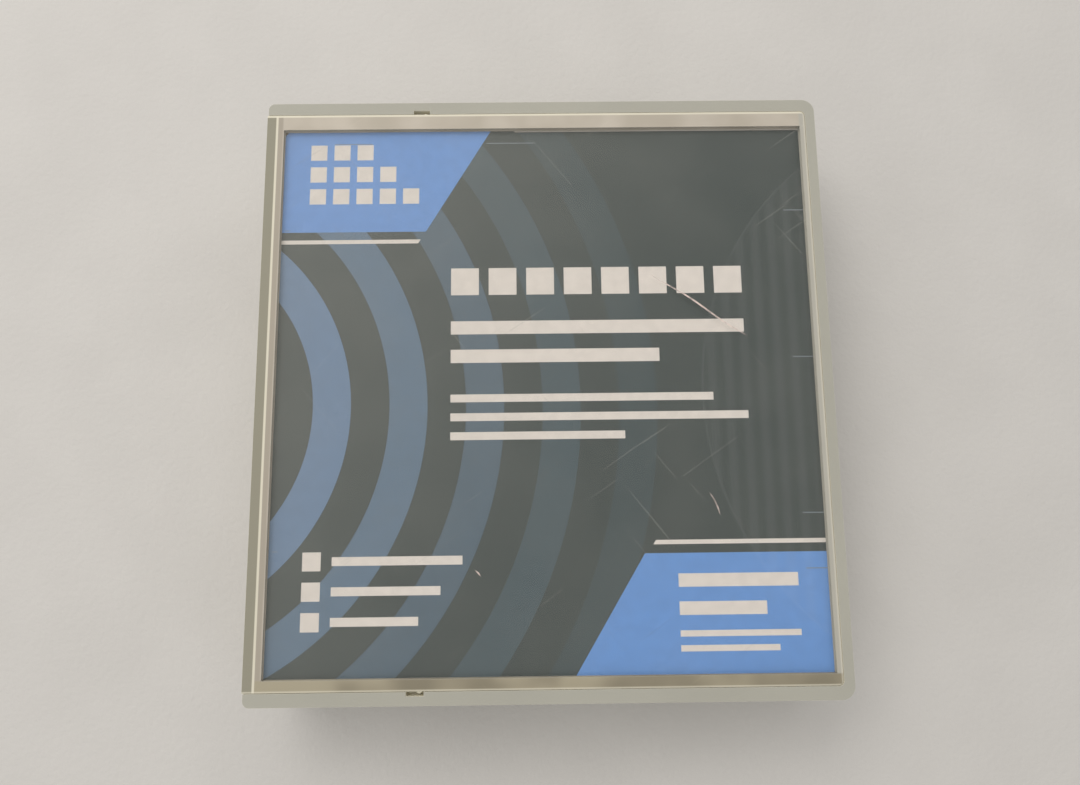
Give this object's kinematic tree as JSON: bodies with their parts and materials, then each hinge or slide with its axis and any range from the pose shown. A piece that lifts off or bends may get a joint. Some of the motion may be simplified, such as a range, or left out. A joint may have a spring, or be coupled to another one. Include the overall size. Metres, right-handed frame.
{
  "type": "cased data tape cartridge",
  "caption": "Half-inch data tape cartridge with reel, brake and sliding door, inside a hinged translucent storage case with a folded inlay card.",
  "frame": {"origin": "middle of the case's footprint, on its resting back face", "axes": "+X from the hinged spine to the opening edge, +Y along the spine, +Z out through the lid"},
  "size_m": [0.1092, 0.115, 0.0254],
  "materials": {
    "frosted_case": "translucent, lightly frosted",
    "clear_lid": "clear, glossy, with a light haze and one long scratch",
    "printed_card": "coated card, printed",
    "shell_plastic": "fine textured",
    "door_plastic": "satin",
    "reel_plastic": "satin moulded",
    "flange_plastic": "satin moulded",
    "brake_plastic": "satin moulded",
    "clip_plastic": "satin moulded",
    "switch_plastic": "satin moulded",
    "plated_steel": "zinc plated",
    "spring_steel": "bright wire",
    "pin_steel": "polished",
    "tape": "smooth coated film, wound flush",
    "chip_board": "lacquered board"
  },
  "bodies": {
    "root": {"case_tray": "frosted_case", "cartridge_lower_shell": "shell_plastic", "cartridge_upper_shell": "shell_plastic", "shell_screws": "plated_steel", "door_spring": "spring_steel", "leader_pin": "pin_steel", "leader_pin_clip": "clip_plastic", "tape_leader": "tape", "lower_pin_spring": "spring_steel", "upper_pin_spring": "spring_steel", "brake_spring": "spring_steel", "memory_chip": "chip_board"},
    "lid": {"case_lid": "clear_lid", "inlay_card": "printed_card"},
    "door": {"access_door": "door_plastic"},
    "reel": {"reel_hub": "reel_plastic", "reel_upper_flange": "flange_plastic", "clutch_plate": "plated_steel", "tape_pack": "tape"},
    "pad": {"release_pad": "clip_plastic"},
    "brake": {"brake_button": "brake_plastic"},
    "protect_switch": {"write_protect_switch": "switch_plastic"}
  },
  "joints": [
    {"name": "lid_hinge", "type": "hinge", "parent": "root", "child": "lid", "pos_m": [-0.0526, 0, 0.0022], "axis": [0, -1, 0], "range_deg": [0, 90]},
    {"name": "door_slide", "type": "slide", "parent": "root", "child": "door", "axis": [1, 0, 0], "range_m": [0, 0.012], "stiffness_N_per_m": 20, "springref_m": -0.008, "deforming": ["door_spring"]},
    {"name": "reel_spin", "type": "hinge", "parent": "root", "child": "reel", "pos_m": [0.0012, 0, 0], "axis": [0, 0, 1], "continuous": true},
    {"name": "brake_lift", "type": "slide", "parent": "root", "child": "brake", "axis": [0, 0, 1], "range_m": [0, 0.0016], "stiffness_N_per_m": 600, "springref_m": -0.004, "deforming": ["brake_spring"]},
    {"name": "pad_lift", "type": "slide", "parent": "reel", "child": "pad", "axis": [0, 0, 1], "range_m": [0, 0.0016]},
    {"name": "write_protect_slide", "type": "slide", "parent": "root", "child": "protect_switch", "axis": [0, 1, 0], "range_m": [0, 0.005]}
  ],
  "couplings": [
    {"joint": "pad_lift", "follows": "brake_lift", "ratio": 1}
  ]
}
